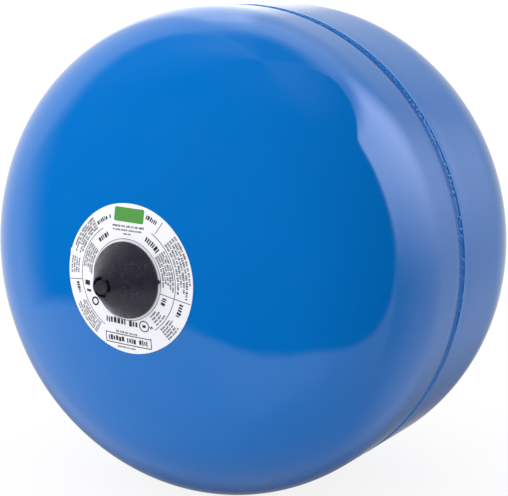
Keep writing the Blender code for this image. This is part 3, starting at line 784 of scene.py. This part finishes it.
def apply_modifiers(obj):
    """Bakes an object's modifiers into its mesh."""
    graph = bpy.context.evaluated_depsgraph_get()
    mesh = bpy.data.meshes.new_from_object(obj.evaluated_get(graph))
    obj.modifiers.clear()
    obj.data = mesh
    mesh.shade_smooth()
    mesh.set_sharp_from_angle(angle=math.radians(SMOOTH_BELOW))


def combine(obj, other, operation):
    """Cuts another solid out of an object, or joins it on, and removes the other."""
    boolean = obj.modifiers.new("combine", "BOOLEAN")
    boolean.operation = operation
    boolean.object = other
    boolean.solver = "EXACT"
    apply_modifiers(obj)
    bpy.data.objects.remove(other, do_unlink=True)


def soften(obj, width, angle):
    """Rounds an object's edges that turn by more than this many degrees."""
    bevel = obj.modifiers.new("soften", "BEVEL")
    bevel.width = width
    bevel.segments = 2
    bevel.limit_method = "ANGLE"
    bevel.angle_limit = math.radians(angle)
    apply_modifiers(obj)


def nib():
    """The gate mark that sticks out of the cover's rim."""
    made = bmesh.new()
    bmesh.ops.create_cube(made, size=1.0)
    bmesh.ops.scale(made, vec=(3 * MM, 1.2 * MM, 2 * MM), verts=made.verts)
    bmesh.ops.bevel(made, geom=list(made.edges), offset=0.3 * MM, segments=2, affect="EDGES")
    turn = math.radians(NIB_ANGLE)
    for vert in made.verts:
        x, z = COVER_RADIUS + vert.co.x, vert.co.z
        aside, up = x * math.cos(turn) - z * math.sin(turn), x * math.sin(turn) + z * math.cos(turn)
        vert.co = (aside, vert.co.y - COVER_BASE - 0.8 * MM, up)
    return as_object("nib", made)


def valve_cover():
    """The push-on cone: a rim, a flat tip with a raised button, and three slots that free the fingers."""
    inner = COVER_RADIUS - 1.5 * MM
    outline = rounded(
        (0, COVER_HEIGHT + BUTTON_RISE, 0),
        (BUTTON_RADIUS * 0.5, COVER_HEIGHT + BUTTON_RISE, 0),
        (BUTTON_RADIUS, COVER_HEIGHT + BUTTON_RISE - 0.05 * MM, 0.45 * MM),
        (BUTTON_RADIUS, COVER_HEIGHT, 0.1 * MM),
        (TIP_RADIUS, COVER_HEIGHT, 0.45 * MM),
        (TIP_RADIUS + 4.8 * MM, COVER_HEIGHT - 6.4 * MM, 0),
        (TIP_RADIUS + 9.7 * MM, COVER_HEIGHT - 12.97 * MM, 0),
        (COVER_RADIUS, 1.2 * MM, 0.35 * MM),
        (COVER_RADIUS, 0, 0.2 * MM),
        (inner, 0, 0.2 * MM),
        (inner, 0.72 * MM, 0.2 * MM),
        (FINGER_OUTER + 0.1 * MM, COVER_ROOF - 0.6 * MM, 0),
        (FINGER_OUTER, COVER_ROOF - 0.6 * MM, 0),
        (FINGER_OUTER, COVER_ROOF - FINGER_LENGTH, 0.3 * MM),
        (FINGER_INNER, COVER_ROOF - FINGER_LENGTH, 0.3 * MM),
        (FINGER_INNER, COVER_ROOF, 0),
        (0, COVER_ROOF, 0),
        steps=4,
    )
    profile = [(r, COVER_BASE + h) for r, h in outline]
    cover = as_object("cover_moulding", turned(profile, 144))
    slot_inner, slot_outer = BUTTON_RADIUS + 0.02 * MM, FINGER_OUTER + 0.04 * MM
    low, high = COVER_BASE + COVER_ROOF - FINGER_LENGTH - 1 * MM, COVER_TOP + 1 * MM
    for middle in SLOT_MIDDLES:
        slot = ring_block(slot_inner, slot_outer, low, high, middle, SLOT_ARC)
        combine(cover, slot, "DIFFERENCE")
    combine(cover, nib(), "UNION")
    soften(cover, 0.09 * MM, 50)
    fit(cover, "black_plastic", "valve_cover", body="cover")


def small_turned(name, corners, steps, slot, cad_node, base=0.0, shape=None, body="vessel"):
    """A plain turned piece whose corners, (radius, height, cut) in millimetres, stand on base."""
    outline = rounded(*[(r * MM, base + h * MM, cut * MM) for r, h, cut in corners])
    made = turned(outline, steps, shape)
    fit(as_object(name, made), slot, cad_node, body=body)


def cover_gasket():
    """The sealing disc in the cover's tip."""
    low, high, _ = (value / MM for value in span("valve_cover_seal"))
    disc = [(0, high, 0), (3.4, high, 0.2), (3.4, low, 0.2), (0, low, 0)]
    small_turned("cover_gasket", disc, 60, "black_rubber", "valve_cover_seal", body="cover")


# ---------------- gas valve


def valve_stem():
    """The stem: a head inside the shell, an M12 shank through it, and the charging thread."""
    low, high, _ = span("valve_stem")
    neck, shank_top = VALVE_SEAT + 8 * MM, VALVE_SEAT + 7 * MM
    fine, coarse = 0.794 * MM, 1 * MM
    crest, shank = 3.85 * MM, 5.85 * MM
    outline = [(3.3 * MM, high)]
    outline += line((3.45 * MM, high - 0.15 * MM), (crest, high - 0.5 * MM), 0.2 * MM)
    outline += line((crest, high - 0.5 * MM), (crest, neck + 0.4 * MM), fine / VALVE_THREAD_ROWS)
    outline += [(3.45 * MM, neck + 0.35 * MM), (3.5 * MM, neck + 0.1 * MM), (3.8 * MM, neck - 0.05 * MM)]
    outline += [(5.2 * MM, shank_top + 0.1 * MM), (shank, shank_top - 0.35 * MM)]
    thread_ends = (shank, shank_top - 0.36 * MM), (shank, VALVE_SEAT + 0.8 * MM)
    outline += line(*thread_ends, coarse / VALVE_THREAD_ROWS)
    outline += rounded(
        (shank, VALVE_SEAT + 0.7 * MM, 0),
        (shank, VALVE_SEAT - 2.9 * MM, 0),
        (9 * MM, VALVE_SEAT - 2.9 * MM, 0.15 * MM),
        (9 * MM, low, 0.4 * MM),
        (1.6 * MM, low, 0.2 * MM),
        (1.6 * MM, VALVE_SEAT + 0.6 * MM, 0),
        (2.15 * MM, VALVE_SEAT + 1 * MM, 0),
        (2.15 * MM, shank_top, 0),
        (2.65 * MM, neck, 0),
        (2.65 * MM, high - 0.3 * MM, 0),
        (2.9 * MM, high, 0),
    )
    cuts = both(
        threading(neck + 0.4 * MM, high - 0.2 * MM, crest, fine, 0.42 * MM),
        threading(VALVE_SEAT + 0.9 * MM, shank_top - 0.3 * MM, shank, coarse, 0.48 * MM),
    )
    made = turned(outline, 72, cuts)
    fit(as_object("stem_turning", made), "brass", "valve_stem")


def valve_nut():
    """The hexagon nut: chamfered corners and a countersunk bore."""
    low, high, _ = span("valve_nut")
    flats = 8.5 * MM
    corner = flats / math.cos(math.pi / 6)
    bore = 5.95 * MM

    def hexagon(radius, height, angle):
        turn = (angle + math.pi / 6) % (math.pi / 3) - math.pi / 6
        return np.where(radius > 7.6 * MM, np.minimum(radius, flats / np.cos(turn)), radius), height

    outline = rounded(
        (bore + 0.5 * MM, high, 0.1 * MM),
        (flats - 0.5 * MM, high, 0.1 * MM),
        (corner, high - 0.75 * MM, 0),
        (corner, low + 0.35 * MM, 0),
        (flats - 0.1 * MM, low, 0.1 * MM),
        (bore + 0.4 * MM, low, 0.1 * MM),
        (bore, low + 0.4 * MM, 0),
        (bore, high - 0.5 * MM, 0),
    )
    made = turned(outline, 180, hexagon)
    fit(as_object("hexagon_nut", made, 25), "zinc_steel", "valve_nut")


def valve_fixings():
    """The washer outside the shell, the gasket inside it, and the nut."""
    low, high, radius = (value / MM for value in span("valve_washer"))
    washer = [(6.15, high, 0.12), (radius, high, 0.3), (radius, low, 0.12), (6.15, low, 0.12)]
    small_turned("flat_washer", washer, 120, "zinc_steel", "valve_washer")
    low, high, radius = (value / MM for value in span("valve_stem_gasket"))
    gasket = [(5.95, high, 0.2), (radius, high, 0.5), (radius, low, 0.5), (5.95, low, 0.2)]
    small_turned("stem_gasket", gasket, 96, "black_rubber", "valve_stem_gasket")
    valve_nut()


def plug_flats(radius, height, angle):
    """Flattens two sides of the core's head, for its key."""
    head = (height > VALVE_SEAT + 15.65 * MM) & (radius > 1.5 * MM)
    flat = 1.4 * MM / np.maximum(np.abs(np.cos(angle)), 0.05)
    return np.where(head, np.minimum(radius, flat), radius), height


def valve_core():
    """The core that a gauge presses: plug, barrel, packing, pin, seal, cup and spring."""
    plug = [(0.95, 16.6, 0.1), (2.1, 16.6, 0.15), (2.1, 15.6, 0)]
    plug += [(2.5, 15.4, 0.1), (2.5, 13.2, 0.1), (0.95, 13.2, 0.1)]
    small_turned("core_head", plug, 60, "brass", "core_plug", VALVE_SEAT, plug_flats)
    barrel = [(1.45, 13, 0.1), (2.4, 13, 0.1), (2.4, 11.5, 0.1), (1.95, 11.4, 0), (1.95, 6.6, 0.15)]
    barrel += [(0.75, 6.6, 0.1), (0.75, 8.2, 0), (1.45, 8.2, 0.1)]
    small_turned("core_sleeve", barrel, 48, "brass", "core_barrel", VALVE_SEAT)
    packing = [(2.05, 11.2, 0.1), (2.55, 11.2, 0.2), (2.55, 8.9, 0.2), (2.2, 8.2, 0.05), (2.05, 8.2, 0)]
    small_turned("core_collar", packing, 48, "white_plastic", "core_packing", VALVE_SEAT)
    pin = [(0, 17.3, 0), (0.6, 17.3, 0.12), (0.75, 17.1, 0.05), (0.75, 16.8, 0.05), (0.5, 16.6, 0)]
    pin += [(0.5, 12.8, 0), (1.25, 12.6, 0.05), (1.25, 12.1, 0.05), (0.5, 12.1, 0)]
    pin += [(0.5, 3.1, 0), (1.0, 3.0, 0.05), (1.0, 2.5, 0.05), (0, 2.5, 0)]
    small_turned("core_needle", pin, 32, "brass", "core_pin", VALVE_SEAT, body="pin")
    seal = [(0.6, 6.4, 0.1), (1.6, 6.4, 0.25), (1.6, 5.1, 0.1), (0.6, 5.1, 0.1)]
    small_turned("core_seal", seal, 40, "black_rubber", "core_plunger_seal", VALVE_SEAT, body="pin")
    cup = [(0.6, 5.0, 0.05), (1.7, 5.0, 0.1), (1.7, 3.2, 0.3), (0.6, 3.2, 0.05)]
    small_turned("core_cup", cup, 40, "brass", "core_plunger_cup", VALVE_SEAT, body="pin")
    core_coil()


def core_coil():
    """The core's compression spring, with closed end turns."""
    low, high, radius = span("core_spring")
    wire = 0.16 * MM
    coil = radius - wire
    foot, head = low + wire, high - wire
    turns, per_turn, sides, closed_turns = 6.5, 24, 10, 0.8
    count = int(turns * per_turn)
    axis = Vector((0, 1, 0))
    made = bmesh.new()
    rings = []
    for i in range(count + 1):
        climb = min(max((i / count * turns - closed_turns) / (turns - 2 * closed_turns), 0.0), 1.0)
        turn = math.tau * i / per_turn
        centre = Vector((coil * math.cos(turn), -(foot + (head - foot) * climb), coil * math.sin(turn)))
        out = Vector((math.cos(turn), 0, math.sin(turn)))
        angles = [math.tau * k / sides for k in range(sides)]
        places = [centre + wire * (out * math.cos(a) + axis * math.sin(a)) for a in angles]
        rings.append([made.verts.new(place) for place in places])
    skin_rings(made, rings)
    fit(as_object("core_coil", made), "stainless", "core_spring")


# ---------------- pipe connection


def connection():
    """The steel stub: a G 3/4 thread with its helix, a collar, and a barbed spigot inside the shell."""
    low, high, _ = span("connection_nipple")
    pitch, depth, crest = 1.814 * MM, 1.16 * MM, 13.22 * MM
    bore, root, shank = 9.9 * MM, 12.06 * MM, 14.6 * MM
    seat = PIPE_SEAT - 0.2 * MM
    outline = [(bore, low + 0.3 * MM), (bore + 0.3 * MM, low)]
    outline += [(root - 0.1 * MM, low), (root + 0.3 * MM, low + 0.3 * MM)]
    outline += line((crest, low + 1.1 * MM), (crest, 17 * MM), pitch / PIPE_THREAD_ROWS)
    outline += rounded(
        (crest, 17 * MM, 0),
        (root, 18 * MM, 0),
        (root, 19.5 * MM, 0.2 * MM),
        (14 * MM, 19.5 * MM, 0.1 * MM),
        (14 * MM, 19 * MM, 0.15 * MM),
        (21 * MM, 19 * MM, 0.7 * MM),
        (21 * MM, seat, 0.3 * MM),
        (shank, seat, 0.1 * MM),
        (shank, 28.5 * MM, 0.1 * MM),
        (11.6 * MM, 29 * MM, 0.1 * MM),
        (11.6 * MM, 37.7 * MM, 0),
        (12.4 * MM, 38 * MM, 0.15 * MM),
        (11.6 * MM, 43.7 * MM, 0),
        (12.4 * MM, 44 * MM, 0.15 * MM),
        (11.6 * MM, high, 0.3 * MM),
        (bore, high, 0.2 * MM),
    )
    made = turned(outline, 144, threading(low + 0.4 * MM, 17.6 * MM, crest, pitch, depth))
    fit(as_object("threaded_stub", made), "zinc_steel", "connection_nipple")


def liner():
    """The plastic liner that keeps the water off the steel. Its flange is the sealing face."""
    outline = [(8.4, 0, 0.2), (12.2, 0, 0.25), (12.2, 1.2, 0.15), (9.7, 1.2, 0.2)]
    outline += [(9.7, 47, 0.1), (9.3, 48, 0.15), (8.4, 48, 0.2)]
    small_turned("water_liner", outline, 120, "white_plastic", "nipple_liner")


def fillet_weld():
    """The weld between the collar and the shell, laid in overlapping ripples."""
    low, high, outer = span("nipple_weld")
    inner = 21.2 * MM

    def ripples(radius, height, angle):
        wave = 0.5 + 0.5 * np.sin(angle * 84 + 1.2 * np.sin(angle * 9))
        outside = (radius > inner + 0.3 * MM) & (height < high - 0.3 * MM)
        return np.where(outside, radius - 0.16 * MM * wave, radius), height

    outline = [(inner, high), (outer, high), (outer - 0.15 * MM, high - 0.5 * MM)]
    outline += line((outer - 0.55 * MM, high - 1.2 * MM), (outer - 2.0 * MM, high - 2.5 * MM), 0.4 * MM)
    outline += [(outer - 2.0 * MM, high - 2.5 * MM), (inner + 0.4 * MM, low + 0.05 * MM), (inner, low)]
    made = turned(outline, 504, ripples)
    fit(as_object("fillet_weld", made, SMOOTH_STEEL), "blue_paint", "nipple_weld")


def bladder():
    """The relaxed bag, with shallow moulded ribs running lengthways."""
    middle, half, radius, wall, power = 127 * MM, 83 * MM, 108 * MM, 1.8 * MM, 2 / 2.2
    neck, bore, start = 15.3 * MM, 12.8 * MM, span("bladder")[0]

    def body(inset, end):
        width, length = radius - inset, half - inset
        first = math.asin((end / width) ** (1 / power))
        points = []
        for angle in np.linspace(0, math.pi - first, 40):
            c = math.cos(angle)
            reach = math.copysign(length * abs(c) ** power, c)
            points.append((width * math.sin(angle) ** power, middle + reach))
        return points

    def ribs(r, h, angle):
        rib = np.clip(np.cos(angle * 24), 0, 1) ** 4
        swell = np.clip((r - 40 * MM) / (40 * MM), 0, 1) * (r > 0)
        return r - 0.35 * MM * (1 - rib) * swell, h

    outline = body(0, neck) + [(neck, start), (bore, start)] + body(wall, bore)[::-1]
    made = turned(outline, 192, ribs)
    fit(as_object("butyl_bag", made), "butyl_rubber", "bladder")


def crimp():
    """The ring that grips the bag's neck: two rolled edges and a waist."""
    low, high, outer = (value / MM for value in span("neck_crimp_ring"))
    inner = outer - 0.9
    waist = outer - 0.35
    outline = [(inner, low, 0.2), (outer, low, 0.3), (outer, low + 1.6, 0.5), (waist, low + 2.4, 0.5)]
    outline += [(waist, high - 2.4, 0.5), (outer, high - 1.6, 0.5), (outer, high, 0.3), (inner, high, 0.2)]
    small_turned("crimped_ring", outline, 120, "stainless", "neck_crimp_ring")


# ---------------- studio


def camera():
    """The photograph's viewpoint: a little above, in front and to the right, with a long lens."""
    turn, tip = 31.87 * DEGREE, 10.86 * DEGREE
    aside, above, away = -8.03 * MM, 1.06 * MM, 834.4 * MM
    forward = Vector((-math.sin(turn) * math.cos(tip), math.cos(turn) * math.cos(tip), -math.sin(tip)))
    right = Vector((math.cos(turn), math.sin(turn), 0))
    up = right.cross(forward)
    data = bpy.data.cameras.new("camera")
    data.sensor_width = 36
    data.lens = 100.8
    eye = bpy.data.objects.new("camera", data)
    bpy.context.scene.collection.objects.link(eye)
    middle = Vector((0, -SEAM, 0))
    eye.location = middle - (aside * right + above * up + away * forward)
    eye.rotation_mode = "QUATERNION"
    eye.rotation_quaternion = forward.to_track_quat("-Z", "Y")
    bpy.context.scene.camera = eye


def floor():
    """A round pale table just under the vessel. The camera sees it almost as bright as the backdrop."""
    radius, gap = 0.82, 0.3 * MM
    made = bmesh.new()
    bmesh.ops.create_circle(made, cap_ends=True, segments=128, radius=radius)
    bmesh.ops.translate(made, vec=(-0.05, 0.35, CAD_BOX[0].z - gap), verts=made.verts)
    obj = as_object("floor", made)
    look = Look("pale_table", (0.7, 0.7, 0.71), 0.9)
    look.tint(look.clouds(60 * MM, 3), (0.69, 0.69, 0.7), (0.71, 0.71, 0.72))
    glow = look.add("ShaderNodeEmission", {"Color": rgb(WHITE), "Strength": 1.02})
    seen = look.times(look.add("ShaderNodeLightPath").outputs["Is Camera Ray"], 0.86)
    looks = look.add("ShaderNodeMixShader", {0: seen, 1: look.shader.outputs[0], 2: glow.outputs[0]})
    look.tree.links.new(looks.outputs[0], look.tree.nodes["Material Output"].inputs["Surface"])
    obj.data.materials.append(look.material)
    obj.visible_glossy = False


class Room(Nodes):
    """The light that comes from each direction of the world.

    azimuth is the direction's angle from the front, positive to the right, and leftwards is its negative.
    height is its elevation, and depth how far it points down. All four are in radians, and the stops and
    shifts below are in degrees.
    """

    def __init__(self, tree):
        super().__init__(tree)
        self.x, self.y, self.z = self.axes(self.add("ShaderNodeTexCoord").outputs["Generated"])
        self.azimuth = self.calc("ARCTAN2", self.x, self.times(self.y, -1.0))
        self.leftwards = self.times(self.azimuth, -1.0)
        self.height = self.calc("ARCSINE", self.z)
        self.depth = self.times(self.height, -1.0)

    def slant(self, across, along, up):
        """How far a direction leans the way that the three factors point."""
        return self.plus(self.times(self.x, across), self.times(self.y, along), self.times(self.z, up))

    def slope(self, value, start, end, low=0.0, high=1.0):
        """A ramp between two angles."""
        return self.ramp(value, start * DEGREE, end * DEGREE, low, high)

    def band(self, value, start, full, fade, end):
        """1 between full and fade, and 0 outside start and end."""
        return self.times(self.slope(value, start, full), self.slope(value, fade, end, 1.0, 0.0))

    def bend(self, shift, value, start, end):
        """An edge's shift, which comes in between two angles."""
        return self.times(self.slope(value, start, end), shift * DEGREE)

    def walls(self):
        """Pale walls at both sides and behind, with a tall window at each side. They darken at the top."""
        right = self.times(self.slope(self.azimuth, 98, 128), 0.36)
        right = self.plus(0.56, right, self.times(self.slope(self.azimuth, 138, 165), -0.1))
        left = self.plus(0.93, self.times(self.slope(self.leftwards, 142, 160), -0.11))
        wall = self.mix(self.slope(self.azimuth, 0, 1), left, right)
        rear = self.most(self.slope(self.azimuth, 140, 165), self.slope(self.leftwards, 120, 150))
        upper = self.times(rear, 0.5, self.band(self.height, 34, 50, 56, 68))
        wall = self.plus(wall, upper, self.times(self.slope(self.height, 56, 72), -0.7))
        window = self.band(self.leftwards, 130, 138, 148, 156)
        wall = self.plus(wall, self.times(window, self.band(self.height, -5, 12, 46, 56), 0.75))
        window = self.band(self.azimuth, 96, 99.5, 138, 169)
        return self.plus(wall, self.times(window, self.band(self.height, -14, 37, 43, 53), 3.7))

    def table(self):
        """The table, brightest just in front of the vessel."""
        near = self.times(self.band(self.azimuth, -20, 0, 35, 60), self.slope(self.depth, 38, 56, 0.2, 0.0))
        return self.plus(self.slope(self.depth, 22, 70, 0.86, 0.53), near)

    def front(self):
        """The dark room in front, with a faint glow from the ceiling and from the left."""
        ahead = self.calc("COSINE", self.plus(self.azimuth, 10 * DEGREE))
        ceiling = self.plus(0.05, self.ramp(ahead, 0.2, 0.95, 0.24, 0.0))
        glow = self.times(self.slope(self.height, 50, 78), ceiling)
        left = self.times(self.slope(self.leftwards, 30, 85), self.slope(self.height, 5, 50), 0.12)
        return self.plus(0.008, self.plus(glow, left))

    def mirrored(self):
        """What glossy surfaces mirror: the dark front, framed by walls and table, and a shadow behind."""
        left_edge = self.slope(self.plus(self.leftwards, self.bend(-44, self.height, 12, 75)), 67, 85)
        right_edge = self.plus(self.azimuth, self.bend(-52, self.height, 42, 60), -95 * DEGREE)
        low_edge = self.plus(self.depth, self.bend(-12, self.azimuth, -38, 4))
        low_edge = self.plus(low_edge, self.bend(-4, self.azimuth, -10, 62), -17 * DEGREE)
        rounded_edge = self.calc("SMOOTH_MAX", low_edge, right_edge, 60 * DEGREE)
        outside = self.most(self.slope(rounded_edge, -1, 3), left_edge)
        sides = self.most(left_edge, self.slope(right_edge, -1, 2))
        wall_foot = self.slope(self.plus(self.depth, self.bend(-12, self.azimuth, 100, 130)), 24, 50)
        table = self.table()
        around = self.mix(sides, table, self.mix(wall_foot, self.walls(), table))
        behind = self.calc("COSINE", self.plus(self.azimuth, 150 * DEGREE))
        shade = self.times(self.ramp(behind, 0.6, 0.98), self.band(self.depth, 10, 30, 46, 72), 0.72)
        return self.times(self.mix(outside, self.front(), around), self.plus(1.0, self.times(shade, -1.0)))

    def daylight(self):
        """The colour of what is mirrored: white, and bluer on the right side behind the vessel."""
        cool = self.ramp(self.calc("SINE", self.azimuth), -0.2, 0.5)
        cool = self.times(cool, self.ramp(self.y, -0.1, 0.2))
        return self.mix_colours(cool, WHITE, (0.91, 0.965, 1.3))

    def fill(self):
        """The light on matt surfaces: strongest from the upper left in front, weak from the lower right."""
        level = self.times(self.plus(self.slant(-0.4, -0.385, 0.58), 1.0), 1.165)
        dark_side = self.most(self.slant(0.933, -0.25, -0.259), 0.0)
        return self.times(level, self.plus(self.times(dark_side, dark_side, -0.85), 1.0))


def studio():
    """Soft light from all round, white where the camera looks past the table."""
    world = bpy.data.worlds.new("studio")
    bpy.context.scene.world = world
    world.use_nodes = True
    world.cycles.sampling_method = "NONE"
    world.node_tree.nodes.clear()
    room = Room(world.node_tree)
    ray = room.add("ShaderNodeLightPath").outputs
    light = room.add("ShaderNodeBackground", {"Color": rgb(WHITE), "Strength": room.fill()})
    image = room.add("ShaderNodeBackground", {"Color": room.daylight(), "Strength": room.mirrored()})
    backdrop = room.add("ShaderNodeBackground", {"Color": rgb(WHITE), "Strength": 1.1})
    choice = {0: ray["Is Glossy Ray"], 1: light.outputs[0], 2: image.outputs[0]}
    unseen = room.add("ShaderNodeMixShader", choice)
    choice = {0: ray["Is Camera Ray"], 1: unseen.outputs[0], 2: backdrop.outputs[0]}
    room.add("ShaderNodeOutputWorld", {"Surface": room.add("ShaderNodeMixShader", choice).outputs[0]})
    bpy.context.scene.view_settings.view_transform = "Standard"


# ---------------- assembly

camera()
studio()
floor()

shells()
seam_bead()
label()
label_print()
valve_cover()
cover_gasket()
valve_stem()
valve_fixings()
valve_core()
connection()
liner()
fillet_weld()
bladder()
crimp()
